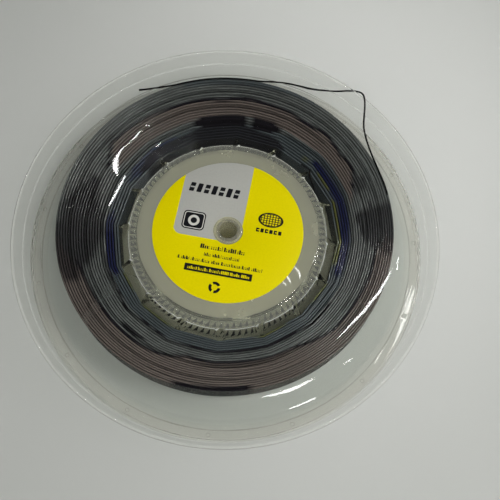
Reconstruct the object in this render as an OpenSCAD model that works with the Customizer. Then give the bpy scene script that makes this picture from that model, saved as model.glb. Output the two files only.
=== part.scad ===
// A reel of racket string, lying on its back flange. Millimetres, +Z up.
// The spindle axis is Z, and the back flange's foot ring stands on Z = 0.

/* [Reel] */
// Diameter over the front rim, the widest part of the reel
flange_d = 266; // [262:1:272]
// Width of the slot that takes the string, between the two webs
slot_w = 19.4; // [18.2:0.2:21]
// Thickness of each flange's flat web
web_t = 1.5; // [1.2:0.1:1.9]
// How far each rim stands out past its web
rim_h = 4.3; // [4.2:0.1:5.2]

/* [Front flange] */
// How far the web's cone band runs outwards, from the flat web to the trough
cone_run = 8.8; // [8:0.2:9.6]
// How deep the trough lies under the flat web
trough_depth = 5; // [4:0.2:5.6]
// How far the lip leans outwards, from the trough to the rim
lip_lean = 3.5; // [2.6:0.1:4.4]
// Thickness of the lip, measured level
lip_t = 1.7; // [1.4:0.1:2]
// Height of the upright edge round the lip's top
lip_edge_h = 1.2; // [1:0.1:1.6]
// Hole that the end of the string is pulled through
string_hole_d = 3; // [2.6:0.1:3.6]
// How far the string hole's centre lies outside the flat web
string_hole_out = 2.2; // [1.8:0.1:3]
// Angle of the string hole round the reel, from +X
string_hole_angle = 40.8; // [30:0.2:50]

/* [Back flange] */
// Width of the band outside the flat web
back_band_w = 7.5; // [7:0.1:8]
// How much thicker than the web the band is, on the string's side
back_band_step = 0.7; // [0.4:0.1:1]
// Thickness of the foot ring that the reel stands on
foot_t = 1.8; // [1.5:0.1:2.2]
// Height of the bead over the foot ring, on the string's side
foot_bead = 0.8; // [0.5:0.1:1]
// Round pin marks in the band, spaced evenly
pin_mark_count = 15; // [10:1:20]
// Diameter of a pin mark
pin_mark_d = 2.8; // [2:0.1:3.2]
// How far the pin marks' centres lie outside the flat web
pin_mark_out = 3.4; // [2.2:0.1:3.8]
// Depth of a pin mark
pin_mark_depth = 0.3; // [0.2:0.05:0.5]

/* [Hub] */
// Outer diameter of the drum
drum_d = 125; // [122:0.5:127]
// Wall of the drum
drum_wall = 1.6; // [1.4:0.1:2]
// Small teeth inside the drum, spaced evenly
tooth_count = 96; // [80:1:104]
// How far a tooth stands in from the drum's wall
tooth_h = 3.6; // [3:0.1:4.2]
// Width of a tooth
tooth_w = 1.35; // [1:0.05:1.6]
// Ribs outside the drum, which carry the first layer of string
rib_count = 16; // [12:2:20]
// How far a rib stands out from the drum
rib_h = 6.5; // [5.6:0.1:7]
// Width of a rib at the drum
rib_root_w = 6; // [4:0.2:8]
// Width of a rib at its tip
rib_tip_w = 1.2; // [1:0.1:1.8]
// Angle of the first rib, from +X
rib_angle = 17.3; // [0:0.1:22]
// How far each flange's hub face stands out past its web
hub_rise = 3.4; // [2.8:0.1:3.6]
// Thickness of the hub face
hub_face_t = 1.6; // [1.4:0.1:2]
// Wall of the spigot that locates the drum
spigot_t = 1.6; // [1.4:0.1:2]
// How far the spigot reaches into the drum
spigot_l = 6; // [5:0.2:6.6]
// Clearance between the spigot and the drum's teeth
spigot_clear = 0.3; // [0.2:0.05:0.4]

/* [Axle] */
// Bore for the spindle
bore_d = 11.4; // [10.8:0.1:12]
// Wall of the axle bush
bush_wall = 1.7; // [1.5:0.1:2]
// Width of the bush's collar outside its wall
collar_w = 1.35; // [1.1:0.05:1.6]
// Height of the collar over the front hub face
collar_h = 1.7; // [1.2:0.1:2]
// Clearance between the bush and the two bosses
bush_clear = 0.15; // [0.1:0.05:0.25]
// Wall of the boss round the bush
boss_t = 1.75; // [1.5:0.05:2]
// Length of the boss, from the hub face inwards
boss_l = 10; // [8:0.5:11]

/* [Labels] */
// Width of the bare hub face outside a label
label_margin = 9.8; // [9:0.2:12]
// Thickness of a label
label_t = 0.25; // [0.2:0.05:0.4]
// Gap between a label's hole and the collar
label_gap = 0.5; // [0.3:0.1:0.8]

/* [String] */
// Diameter of the string
string_d = 1.25; // [1.15:0.05:1.35]
// Least room between the slack side of the winding and the edge of the flat web
string_room = 3.7; // [3:0.1:8]
// Air between one layer and the next
layer_gap = 0.35; // [0.3:0.05:0.4]
// Depth of the groove that shows between one layer and the next
layer_groove = 1.9; // [1.2:0.1:2.4]
// Air between the string and each web
side_gap = 0.325; // [0.2:0.025:0.5]
// Gap between a rib's tip and the string on it
rib_gap = 0.1; // [0.05:0.05:0.2]
// How far the slack winding hangs off the axis, along X
slack_x = -1; // [-2:0.5:1]
// How far the slack winding hangs off the axis, along Y
slack_y = 8; // [5:0.5:8.5]
// Hole in the drum for the start of the string
start_hole_d = 1.8; // [1.7:0.1:2.2]
// Knot that holds the start of the string inside the drum
knot_d = 3.4; // [3:0.1:3.8]

/* [Hidden] */

CLEAR = [0.82, 0.84, 0.82, 0.35];
fillet_steps = 4;
round_fn = 96;
small_fn = 32;
cut_over = 1;
knot_gap = 0.3;
place_gap = 0.05;

// Heights
back_web_z = rim_h + web_t;
front_web_z = back_web_z + slot_w;
hub_face_h = web_t + hub_rise;
hub_face_in_h = hub_face_h - hub_face_t;
front_face_z = front_web_z + hub_face_h;
back_face_z = back_web_z - hub_face_h;
pack_low_z = back_web_z + side_gap;
pack_top_z = front_web_z - side_gap;
start_z = back_web_z + slot_w / 2;

// Radii
flange_r = flange_d / 2;
trough_r = flange_r - lip_t - lip_lean;
web_r = trough_r - cone_run;
back_r = web_r + back_band_w;
string_hole_r = web_r + string_hole_out;
pin_mark_r = web_r + pin_mark_out;
drum_r = drum_d / 2;
drum_in_r = drum_r - drum_wall;
tooth_r = drum_in_r - tooth_h;
rib_r = drum_r + rib_h;
spigot_r = tooth_r - spigot_clear;
bush_r = bore_d / 2 + bush_wall;
bush_seat_r = bush_r + bush_clear;
boss_r = bush_seat_r + boss_t;
collar_r = bush_r + collar_w;
label_r = spigot_r - label_margin;
label_hole_r = collar_r + label_gap;

// String
layer_pitch = string_d + layer_gap;
pack_in_r = rib_r + rib_gap;
layer_room = web_r - string_room - norm([slack_x, slack_y]) - pack_in_r - string_d;
layer_count = floor(layer_room / layer_pitch) + 1;
pack_r = pack_in_r + string_d + (layer_count - 1) * layer_pitch;
last_turn_gap = string_d + place_gap;
pocket_angle = 180 / rib_count;
start_angle = rib_angle + pocket_angle;
tooth_pitch = 360 / tooth_count;
tooth_angle = start_angle + tooth_pitch / 2;
tooth_half_gap = tooth_r * sin(tooth_pitch / 2) - tooth_w / 2;
knot_reach = sqrt(max(pow(knot_d / 2, 2) - pow(tooth_half_gap, 2), 0));
knot_r = tooth_r - knot_gap - knot_reach;

// The free end's route: off the last layer, out through the string hole, over the rim,
// back in under the trough, and along the last layer's own place to the cut end
tail_route = [
    [103.9, 26.5, 24.2], [102.4, 33.8, 24.2], [100.3, 41, 24.2], [98.1, 48, 24.2],
    [96, 54.6, 24.2], [94.4, 61.4, 23.6], [93.4, 67.2, 22.5], [92.9, 71.4, 21.8],
    [92.5, 74.6, 21.8], [92.1, 77.2, 22.8], [91.8, 79.2, 24.7], [91.7, 81.1, 26.9],
    [91.8, 84, 29.4], [92, 87.8, 31.4], [92.2, 92, 32.2], [92, 95.8, 32],
    [91.2, 98.9, 30.9], [89.6, 102, 28.2], [86.6, 105.4, 24], [82.6, 107.8, 20.4],
    [78.4, 108.8, 18.4], [73.6, 109, 18], [68.4, 108.9, 18.7], [62, 108.5, 20.3],
    [55.6, 108.8, 21.8], [49, 110, 22.9], [41.6, 111.3, 23.7], [33, 112, 24.1],
    [21.6, 112.5, 24.2], [10.4, 114, 24.2], [-1, 114.6, 24.2], [-12.4, 114, 24.2],
    [-23.6, 112.2, 24.2], [-34.4, 109.4, 24.2], [-42.6, 107.8, 24.1], [-51, 106.9, 23.4],
    [-59.6, 106.4, 22.4]
];
tail_steps = 2;

// The start's route: out of the drum's wall, up through the pocket between two ribs, and
// to the first layer beside the next rib. Each point is how far it lies outside the drum,
// how far along it, and its share of the climb.
start_route = [
    [-0.1, 0, 0], [1.1, 0.3, 0.02], [2.2, 1.2, 0.11], [3, 2.6, 0.27], [3.4, 4.2, 0.46],
    [3.5, 6, 0.64], [3.5, 7.8, 0.8], [3.6, 9.5, 0.91], [4.1, 10.7, 0.97], [4.9, 11.6, 1]
];
start_climb = pack_top_z - string_d / 2 - start_z;
start_line = concat([[knot_r, 0, start_z], [drum_in_r - cut_over, 0, start_z]],
    [for (p = start_route) [drum_r + p.x, p.y, start_z + p.z * start_climb]]);
tube_sides = 8;

function unit(v) = v / norm(v);

// One corner of a profile, rounded with radius r
function corner(a, p, b, r) = r <= 0 ? [p] :
    let (u = unit(a - p), v = unit(b - p), half = acos(u * v) / 2)
    let (centre = p + unit(u + v) * r / sin(half), reach = r / tan(half))
    let (from = p + u * reach - centre, to = p + v * reach - centre)
    let (a0 = atan2(from.y, from.x), turn = atan2(to.y, to.x) - a0)
    let (sweep = turn > 180 ? turn - 360 : turn < -180 ? turn + 360 : turn)
    [for (i = [0:fillet_steps]) let (t = a0 + sweep * i / fillet_steps)
        centre + r * [cos(t), sin(t)]];

// A closed profile whose points are [radius, height, corner radius]
function rounded(points) = let (n = len(points))
    [for (i = [0:n - 1]) let (a = points[(i + n - 1) % n], p = points[i], b = points[(i + 1) % n])
        each corner([a.x, a.y], [p.x, p.y], [b.x, b.y], p.z)];

// The middle of both flanges, with heights measured out from the web's inner face
function hub_inside() = [
    [spigot_r, -spigot_l, 0.3],
    [spigot_r - spigot_t, -spigot_l, 0.3],
    [spigot_r - spigot_t, hub_face_in_h, 0.8],
    [boss_r, hub_face_in_h, 0.8],
    [boss_r, hub_face_in_h - boss_l, 0.3],
    [bush_seat_r, hub_face_in_h - boss_l, 0.3],
    [bush_seat_r, hub_face_h, 0]
];
function hub_outside() = [
    [spigot_r, hub_face_h, 0.8],
    [spigot_r, web_t, 0.8]
];
function front_rim() = let (slope = lip_lean / (rim_h + trough_depth)) [
    [web_r, web_t, 2],
    [trough_r, web_t - trough_depth, 0.8],
    [flange_r - lip_t, web_t + rim_h, 0.4],
    [flange_r, web_t + rim_h, 0.5],
    [flange_r, web_t + rim_h - lip_edge_h, 0.5],
    [trough_r + lip_t - web_t * slope, -trough_depth, 0.7],
    [trough_r, -trough_depth, 0.3],
    [web_r, 0, 2],
    [spigot_r, 0, 0]
];
function back_rim() = [
    [back_r - foot_t, web_t, 0.8],
    [back_r - foot_t, web_t + rim_h, 0.4],
    [back_r, web_t + rim_h, 0.4],
    [back_r, -back_band_step - foot_bead, 0.4],
    [back_r - foot_t, -back_band_step - foot_bead, 0.4],
    [back_r - foot_t, -back_band_step, 0.3],
    [web_r, -back_band_step, 0.2],
    [web_r, 0, 0.2],
    [spigot_r, 0, 0]
];

// A smooth curve through a route's points
function smooth_at(route, i, t) = let (n = len(route))
    let (a = route[max(i - 1, 0)], b = route[i])
    let (c = route[min(i + 1, n - 1)], d = route[min(i + 2, n - 1)])
    0.5 * (2 * b + (c - a) * t + (2 * a - 5 * b + 4 * c - d) * t * t
        + (3 * b - a - 3 * c + d) * t * t * t);
function smooth(route, steps) = [
    for (i = [0:len(route) - 2], k = [0:steps - 1]) smooth_at(route, i, k / steps),
    route[len(route) - 1]];
function tube_ring(line, i) = let (n = len(line))
    let (along = unit(line[min(i + 1, n - 1)] - line[max(i - 1, 0)]))
    let (side = unit(cross(along, [0, 0, 1])), up = cross(side, along))
    [for (k = [0:tube_sides - 1]) let (a = 360 * k / tube_sides)
        line[i] + string_d / 2 * (side * cos(a) + up * sin(a))];

module turned(profile) {
    rotate_extrude($fn = round_fn)
        polygon(rounded(profile));
}

module ring(r_in, r_out, h) {
    difference() {
        cylinder(h = h, r = r_out, $fn = round_fn);
        translate([0, 0, -cut_over])
            cylinder(h = h + 2 * cut_over, r = r_in, $fn = round_fn);
    }
}

module front_flange() {
    color(CLEAR)
    difference() {
        translate([0, 0, front_web_z])
            turned(concat(hub_inside(), hub_outside(), front_rim()));
        rotate([0, 0, string_hole_angle])
            translate([string_hole_r, 0, front_web_z - trough_depth - cut_over])
                cylinder(h = trough_depth + web_t + 2 * cut_over, d = string_hole_d,
                    $fn = small_fn);
    }
}

module back_flange() {
    color(CLEAR)
    difference() {
        translate([0, 0, back_web_z])
            mirror([0, 0, 1])
                turned(concat(hub_inside(), hub_outside(), back_rim()));
        for (k = [0:pin_mark_count - 1])
            rotate([0, 0, 360 * k / pin_mark_count])
                translate([pin_mark_r, 0, back_web_z + back_band_step - pin_mark_depth])
                    cylinder(h = pin_mark_depth + cut_over, d = pin_mark_d, $fn = small_fn);
    }
}

// The drum's hollow, with the gaps between the teeth
function toothed_outline() = [for (k = [0:tooth_count - 1])
    let (mid = tooth_angle + k * tooth_pitch)
    let (root = asin(tooth_w / 2 / drum_in_r), tip = asin(tooth_w / 2 / tooth_r))
    for (p = [[drum_in_r, -root], [tooth_r, -tip], [tooth_r, tip], [drum_in_r, root]])
        p.x * [cos(mid + p.y), sin(mid + p.y)]];

module hub_drum() {
    rib_root_r = sqrt(pow(drum_r, 2) - pow(rib_root_w / 2, 2)) - drum_wall / 2;
    color([0.8, 0.83, 0.78, 0.5])
    translate([0, 0, back_web_z])
    difference() {
        union() {
            cylinder(h = slot_w, r = drum_r, $fn = round_fn);
            for (k = [0:rib_count - 1])
                rotate([0, 0, rib_angle + 360 * k / rib_count])
                    linear_extrude(height = slot_w)
                        polygon([[rib_root_r, -rib_root_w / 2], [rib_r, -rib_tip_w / 2],
                            [rib_r, rib_tip_w / 2], [rib_root_r, rib_root_w / 2]]);
        }
        translate([0, 0, -cut_over])
            linear_extrude(height = slot_w + 2 * cut_over)
                polygon(toothed_outline());
        rotate([0, 0, start_angle])
            translate([drum_in_r - cut_over, 0, slot_w / 2])
                rotate([0, 90, 0])
                    cylinder(h = drum_wall + 2 * cut_over, d = start_hole_d, $fn = small_fn);
    }
}

module axle_bush() {
    color([0.45, 0.44, 0.38])
    difference() {
        union() {
            translate([0, 0, back_face_z])
                cylinder(h = front_face_z - back_face_z, r = bush_r, $fn = round_fn);
            translate([0, 0, front_face_z])
                cylinder(h = collar_h, r = collar_r, $fn = round_fn);
        }
        translate([0, 0, back_face_z - cut_over])
            cylinder(h = front_face_z - back_face_z + collar_h + 2 * cut_over, d = bore_d,
                $fn = round_fn);
    }
}

module front_label() {
    color([0.85, 0.78, 0.2])
    translate([0, 0, front_face_z])
        ring(label_hole_r, label_r, label_t);
}

module back_label() {
    color([0.85, 0.78, 0.2])
    translate([0, 0, back_face_z - label_t])
        ring(label_hole_r, label_r, label_t);
}

// The groove inside layer k, cut up from height z
module layer_gap_ring(k, z) {
    share = (k - 0.5) / (layer_count - 1);
    outer_r = pack_in_r + k * layer_pitch;
    translate([slack_x * share, slack_y * share, z])
        ring(outer_r - layer_gap, outer_r, layer_groove + cut_over);
}

// The wound layers: straight from rib to rib on the inside, round and slack on the outside,
// with the gaps between them as grooves in the top and the bottom
module string_pack() {
    inner = [for (k = [0:rib_count - 1]) let (a = rib_angle + 360 * k / rib_count)
        pack_in_r * [cos(a), sin(a)]];
    color([0.22, 0.23, 0.22])
    difference() {
        translate([slack_x, slack_y, pack_low_z])
            union() {
                cylinder(h = pack_top_z - pack_low_z, r = pack_r - last_turn_gap,
                    $fn = round_fn);
                cylinder(h = pack_top_z - pack_low_z - last_turn_gap, r = pack_r,
                    $fn = round_fn);
            }
        translate([0, 0, pack_low_z - cut_over])
            linear_extrude(height = pack_top_z - pack_low_z + 2 * cut_over)
                polygon(inner);
        for (k = [1:layer_count - 1])
            layer_gap_ring(k, pack_low_z - cut_over);
        for (k = [1:layer_count - 2])
            layer_gap_ring(k, pack_top_z - layer_groove);
    }
}

module tube(line) {
    rings = len(line);
    points = [for (i = [0:rings - 1]) each tube_ring(line, i)];
    skin = [for (i = [0:rings - 2], k = [0:tube_sides - 1]) let (m = (k + 1) % tube_sides)
        [i * tube_sides + k, i * tube_sides + m, (i + 1) * tube_sides + m,
            (i + 1) * tube_sides + k]];
    near = [for (k = [0:tube_sides - 1]) tube_sides - 1 - k];
    far = [for (k = [0:tube_sides - 1]) (rings - 1) * tube_sides + k];
    polyhedron(points, concat(skin, [near, far]));
}

module string_tail() {
    color([0.3, 0.31, 0.3])
        tube(smooth(tail_route, tail_steps));
}

// The start of the string, held by its knot inside the drum
module string_start() {
    color([0.22, 0.23, 0.22])
    rotate([0, 0, start_angle])
        union() {
            translate([knot_r, 0, start_z])
                sphere(d = knot_d, $fn = small_fn);
            tube(start_line);
        }
}

front_flange();
back_flange();
hub_drum();
axle_bush();
front_label();
back_label();
string_pack();
string_tail();
string_start();
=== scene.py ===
import math

import bmesh
import bpy
import numpy as np
from mathutils import Matrix, Vector


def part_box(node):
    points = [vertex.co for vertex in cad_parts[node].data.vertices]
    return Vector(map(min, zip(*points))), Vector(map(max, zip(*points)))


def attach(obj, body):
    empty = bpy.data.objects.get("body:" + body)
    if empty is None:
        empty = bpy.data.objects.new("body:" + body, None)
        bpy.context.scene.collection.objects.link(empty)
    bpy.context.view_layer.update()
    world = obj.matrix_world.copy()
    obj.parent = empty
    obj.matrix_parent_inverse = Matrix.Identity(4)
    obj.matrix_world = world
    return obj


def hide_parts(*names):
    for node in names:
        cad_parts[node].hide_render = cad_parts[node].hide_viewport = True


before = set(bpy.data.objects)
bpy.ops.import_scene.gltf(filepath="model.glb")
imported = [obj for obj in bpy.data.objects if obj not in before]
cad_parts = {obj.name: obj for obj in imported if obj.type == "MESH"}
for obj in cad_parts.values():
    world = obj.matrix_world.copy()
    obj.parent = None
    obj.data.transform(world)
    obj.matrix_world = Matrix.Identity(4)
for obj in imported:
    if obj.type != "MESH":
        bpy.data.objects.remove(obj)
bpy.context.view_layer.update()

# Sizes are in millimetres, apart from those of the camera, the lamps and the floor
mm = 0.001
fullTurn = 2 * math.pi


def say(text):
    print("stage:", text)


def boxOf(node):
    low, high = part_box(node)
    return [c / mm for c in low], [c / mm for c in high]


# Heights and radii that the frame holds are read from it
drumLow, drumHigh = boxOf("hub_drum")
bushLow, bushHigh = boxOf("axle_bush")
labelLow, labelHigh = boxOf("front_label")
heights = {
    "backWeb": drumLow[2],
    "frontWeb": drumHigh[2],
    "frontFace": labelLow[2],
    "backFace": bushLow[2],
    "collarTop": bushHigh[2],
}


def addObject(name, data, body="root"):
    obj = bpy.data.objects.new(name, data)
    bpy.context.scene.collection.objects.link(obj)
    if body:
        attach(obj, body)
    return obj


def addStage(name, mesh):
    obj = addObject(name, mesh, None)
    return obj


def finishPiece(obj, node):
    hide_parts(node)


def gridMesh(name, rings, closedAcross, closedAlong):
    # rings is an array (n, m, 3) of points, joined along n and across m
    n, m = rings.shape[:2]
    rows = np.arange(n if closedAlong else n - 1)
    cols = np.arange(m if closedAcross else m - 1)
    i, j = np.meshgrid(rows, cols, indexing="ij")
    i2, j2 = (i + 1) % n, (j + 1) % m
    quads = np.stack([i * m + j, i * m + j2, i2 * m + j2, i2 * m + j], -1).reshape(-1, 4)
    mesh = bpy.data.meshes.new(name)
    mesh.vertices.add(n * m)
    mesh.vertices.foreach_set("co", (rings.reshape(-1, 3) * mm).astype(np.float32).ravel())
    mesh.loops.add(quads.size)
    mesh.loops.foreach_set("vertex_index", quads.ravel().astype(np.int32))
    mesh.polygons.add(len(quads))
    mesh.polygons.foreach_set("loop_start", (np.arange(len(quads)) * 4).astype(np.int32))
    mesh.polygons.foreach_set("loop_total", np.full(len(quads), 4, np.int32))
    mesh.polygons.foreach_set("use_smooth", np.ones(len(quads), bool))
    mesh.update(calc_edges=True)
    mesh.validate()
    return mesh, quads


def faceOutwards(mesh, capSides=0):
    # Turns every face outwards. The ends of a tube with capSides sides are closed first.
    bm = bmesh.new()
    bm.from_mesh(mesh)
    if capSides:
        bm.verts.ensure_lookup_table()
        last = len(bm.verts) - 1
        bm.faces.new([bm.verts[k] for k in range(capSides)])
        bm.faces.new([bm.verts[last - k] for k in range(capSides)])
    bmesh.ops.recalc_face_normals(bm, faces=bm.faces)
    bm.to_mesh(mesh)
    bm.free()


def roundedProfile(points, steps):
    # A closed profile from points with radius, height and corner radius
    out = []
    n = len(points)
    for i in range(n):
        a, p, b = (np.array(points[k % n][:2], float) for k in (i - 1, i, i + 1))
        r = points[i][2]
        if r <= 0:
            out.append(p)
            continue
        u = (a - p) / np.linalg.norm(a - p)
        v = (b - p) / np.linalg.norm(b - p)
        half = math.acos(float(np.clip(u @ v, -1, 1))) / 2
        centre = p + (u + v) / np.linalg.norm(u + v) * r / math.sin(half)
        reach = r / math.tan(half)
        start, end = p + u * reach - centre, p + v * reach - centre
        first = math.atan2(start[1], start[0])
        sweep = (math.atan2(end[1], end[0]) - first + math.pi) % fullTurn - math.pi
        for k in range(steps + 1):
            t = first + sweep * k / steps
            out.append(centre + r * np.array([math.cos(t), math.sin(t)]))
    return np.array(out)


def lathe(name, points, segments, base=0.0, flip=False, ripple=None, steps=5):
    # Turns a profile round Z. Its heights go up from base, or down from it with flip.
    profile = roundedProfile(points, steps)
    r = np.tile(profile[:, 0], (segments, 1))
    z = np.tile(base - profile[:, 1] if flip else base + profile[:, 1], (segments, 1))
    a = np.repeat(np.arange(segments)[:, None] * fullTurn / segments, len(profile), 1)
    if ripple:
        z = z + ripple(r, a)
    rings = np.stack([r * np.cos(a), r * np.sin(a), z], -1)
    mesh, _ = gridMesh(name, rings if flip else rings[::-1], True, True)
    faceOutwards(mesh)
    mesh.set_sharp_from_angle(angle=math.radians(40))
    return mesh


def weightNormals(obj):
    mod = obj.modifiers.new("weighted", "WEIGHTED_NORMAL")
    mod.keep_sharp = True
    mod.weight = 60


def cutWith(obj, cutter):
    # The cut is made at once, and its result becomes the object's own mesh
    mod = obj.modifiers.new("cut", "BOOLEAN")
    mod.operation = "DIFFERENCE"
    mod.solver = "EXACT"
    mod.object = cutter
    cutter.hide_render = True
    cutter.hide_viewport = True
    bpy.context.view_layer.update()
    graph = bpy.context.evaluated_depsgraph_get()
    made = bpy.data.meshes.new_from_object(obj.evaluated_get(graph))
    obj.modifiers.clear()
    old = obj.data
    obj.data = made
    bpy.data.meshes.remove(old)
    made.set_sharp_from_angle(angle=math.radians(40))
    weightNormals(obj)


def makePins(name, places, lowR, highR, low, high, sides=40):
    # Upright round cutters at (x, y) places
    verts, faces = [], []
    for x, y in places:
        at = len(verts)
        for z, radius in ((low, lowR), (high, highR)):
            for k in range(sides):
                a = fullTurn * k / sides
                verts.append((mm * (x + radius * math.cos(a)), mm * (y + radius * math.sin(a)), mm * z))
        for k in range(sides):
            following = (k + 1) % sides
            faces.append((at + k, at + following, at + sides + following, at + sides + k))
        faces.append([at + sides - 1 - k for k in range(sides)])
        faces.append([at + sides + k for k in range(sides)])
    mesh = bpy.data.meshes.new(name)
    mesh.from_pydata(verts, [], faces)
    mesh.update()
    return addStage(name, mesh)


def unit(v):
    return v / np.linalg.norm(v, axis=1, keepdims=True)


def smoothLine(route, steps):
    # A smooth curve through the route's points
    p = np.array(route, float)
    n = len(p)
    out = []
    for i in range(n - 1):
        a, b, c, d = p[max(i - 1, 0)], p[i], p[i + 1], p[min(i + 2, n - 1)]
        for k in range(steps):
            t = k / steps
            bend = (2 * a - 5 * b + 4 * c - d) * t * t + (3 * b - a - 3 * c + d) * t ** 3
            out.append(0.5 * (2 * b + (c - a) * t + bend))
    out.append(p[-1])
    return np.array(out)


say("camera")
camera = {
    "place": (0.0, -0.17947, 0.47369),
    "aim": (0.02741, -0.01236, 0.031),
    "rollDegrees": -1.6657,
    "lens": 55.062,
    "shift": (-0.04513, -0.003206),
}


def makeCamera():
    data = bpy.data.cameras.new("camera")
    obj = addObject("camera", data, None)
    place = Vector(camera["place"])
    back = (place - Vector(camera["aim"])).normalized()
    x = Vector((0, 1, 0)).cross(back).normalized()
    y = back.cross(x)
    roll = math.radians(camera["rollDegrees"])
    right = x * math.cos(roll) + y * math.sin(roll)
    up = -x * math.sin(roll) + y * math.cos(roll)
    turn = Matrix((right, up, back)).transposed().to_4x4()
    obj.matrix_world = Matrix.Translation(place) @ turn
    data.sensor_width = 36
    data.lens = camera["lens"]
    data.shift_x, data.shift_y = camera["shift"]
    data.clip_start = 0.01
    bpy.context.scene.camera = obj


makeCamera()


class Wire:
    # A node's output, so that sums of node values can be written as sums
    def __init__(self, socket):
        self.socket = socket
        self.tree = socket.id_data

    def apply(self, operation, other=None):
        return addNode(self.tree, "Math", {0: self, 1: other}, operation=operation)

    def __add__(self, other):
        return self.apply("ADD", other)

    def __sub__(self, other):
        return self.apply("SUBTRACT", other)

    def __rsub__(self, other):
        return addNode(self.tree, "Math", {0: other, 1: self}, operation="SUBTRACT")

    def __mul__(self, other):
        return self.apply("MULTIPLY", other)

    def __truediv__(self, other):
        return self.apply("DIVIDE", other)

    def ramp(self, low, high, toLow=0.0, toHigh=1.0, kind="SMOOTHSTEP"):
        limits = {"Value": self, "From Min": low, "From Max": high, "To Min": toLow, "To Max": toHigh}
        return addNode(self.tree, "MapRange", limits, "Result", interpolation_type=kind)


def fillInputs(node, inputs):
    # Wires are linked, and numbers and colours are set on the input itself
    for key, value in inputs.items():
        socket = node.inputs[key]
        if isinstance(value, Wire):
            value.tree.links.new(value.socket, socket)
        elif socket.type == "RGBA":
            socket.default_value = (*value, 1.0)
        elif value is not None:
            socket.default_value = value


def newNode(tree, kind, inputs, **settings):
    node = tree.nodes.new("ShaderNode" + kind)
    for key, value in settings.items():
        setattr(node, key, value)
    fillInputs(node, inputs)
    return node


def addNode(tree, kind, inputs, output=0, **settings):
    return Wire(newNode(tree, kind, inputs, **settings).outputs[output])


def wiresOf(node):
    return {socket.name: Wire(socket) for socket in node.outputs}


def useGroup(tree, group, inputs):
    return wiresOf(newNode(tree, "Group", inputs, node_tree=group))


def addMix(tree, factor, a, b, blend="MIX"):
    return addNode(tree, "Mix", {0: factor, 6: a, 7: b}, 2, data_type="RGBA", blend_type=blend)


def addNoise(point, scale, detail=2.0, rough=0.5):
    inputs = {"Vector": point, "Scale": scale, "Detail": detail, "Roughness": rough}
    return addNode(point.tree, "TexNoise", inputs, "Fac")


def addAttribute(tree, name):
    return addNode(tree, "Attribute", {}, "Fac", attribute_name=name)


def objectPoint(tree):
    return addNode(tree, "TexCoord", {}, "Object")


def splitPoint(point):
    return [Wire(socket) for socket in newNode(point.tree, "SeparateXYZ", {0: point}).outputs]


def joinPoint(x, y, z=0.0):
    return addNode(x.tree, "CombineXYZ", {0: x, 1: y, 2: z})


def lengthOf(x, y):
    return (x * x + y * y).apply("SQRT")


def newGroup(name, **sockets):
    # sockets: inputs and outputs, each a dictionary of names and kinds
    group = bpy.data.node_groups.new(name, "ShaderNodeTree")
    for side in ("input", "output"):
        for label, kind in sockets[side + "s"].items():
            group.interface.new_socket(name=label, in_out=side.upper(), socket_type="NodeSocket" + kind)
    start = group.nodes.new("NodeGroupInput")
    return group, wiresOf(start), group.nodes.new("NodeGroupOutput")


def makeMouldedSkin():
    # Slight waves, flow lines and fine marks of moulded plastic, as a normal
    group, start, end = newGroup(
        "mouldedSkin",
        inputs={"Point": "Vector", "Wave": "Float", "Marks": "Float"},
        outputs={"Normal": "Vector", "Haze": "Float"},
    )
    point = start["Point"]
    x, y, _ = splitPoint(point)
    rays = addNoise(joinPoint(lengthOf(x, y) * 30.0, y.apply("ARCTAN2", x) * 3.0), 3.0)
    waves = addNoise(point, 22.0, 1.0) + rays * 0.25
    wave = addNode(group, "Bump", {"Distance": 0.0016, "Height": waves, "Strength": start["Wave"]})
    fine = addNoise(point, 900.0)
    marks = {"Distance": 0.00004, "Height": fine, "Strength": start["Marks"], "Normal": wave}
    haze = addNoise(point, 60.0, 4.0).ramp(0.45, 0.8)
    fillInputs(end, {"Normal": addNode(group, "Bump", marks), "Haze": haze})
    return group


def makeTwistedRibs():
    # Height of two raised ribs that run round the string
    group, start, end = newGroup(
        "twistedRibs",
        inputs={"Run": "Vector", "Pitch": "Float", "Ribs": "Float"},
        outputs={"Height": "Float", "Facet": "Float", "Crest": "Float"},
    )
    u, v, _ = splitPoint(start["Run"])
    slow = addNoise(joinPoint(u * 0.11, 0.0), 1.0, 3.0)
    turns = u / start["Pitch"] + v * start["Ribs"] + slow * 5.0
    height = ((turns * fullTurn).apply("SINE") + 1.0) * 0.5
    crest = (v * fullTurn).apply("SINE").apply("ABSOLUTE")
    fillInputs(end, {"Height": height, "Facet": slow, "Crest": crest})
    return group


def makePrintBox():
    # 1 inside a rounded box on the label, 0 outside it
    group, start, end = newGroup(
        "printBox",
        inputs={"Point": "Vector", "Middle": "Vector", "Half Width": "Float", "Half Height": "Float",
                "Corner": "Float", "Slant": "Float"},
        outputs={"Mask": "Float"},
    )
    corner = start["Corner"]
    place = {0: start["Point"], 1: start["Middle"]}
    x, y, _ = splitPoint(addNode(group, "VectorMath", place, operation="SUBTRACT"))
    x = x - y * start["Slant"]
    qx = x.apply("ABSOLUTE") - start["Half Width"] + corner
    qy = y.apply("ABSOLUTE") - start["Half Height"] + corner
    outer = lengthOf(qx.apply("MAXIMUM", 0.0), qy.apply("MAXIMUM", 0.0))
    inner = qx.apply("MAXIMUM", qy).apply("MINIMUM", 0.0)
    fillInputs(end, {"Mask": (outer + inner - corner).ramp(0.08, -0.08)})
    return group


say("materials")
mouldedSkin = makeMouldedSkin()
twistedRibs = makeTwistedRibs()
printBox = makePrintBox()


def newMaterial(name):
    material = bpy.data.materials.new(name)
    material.use_nodes = True
    return material, material.node_tree, material.node_tree.nodes["Principled BSDF"]


clearLook = {
    "colour": (0.955, 0.965, 0.950),
    "shadow": (0.945, 0.95, 0.94),
    "roughness": 0.006,
    "spread": (0.6, 1.6),
    "ior": 1.22,
    "coat": 0.5,
    "coatRoughness": 0.01,
    "passing": 1.0,
    "wave": 0.004,
    "marks": 0.01,
}
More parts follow.
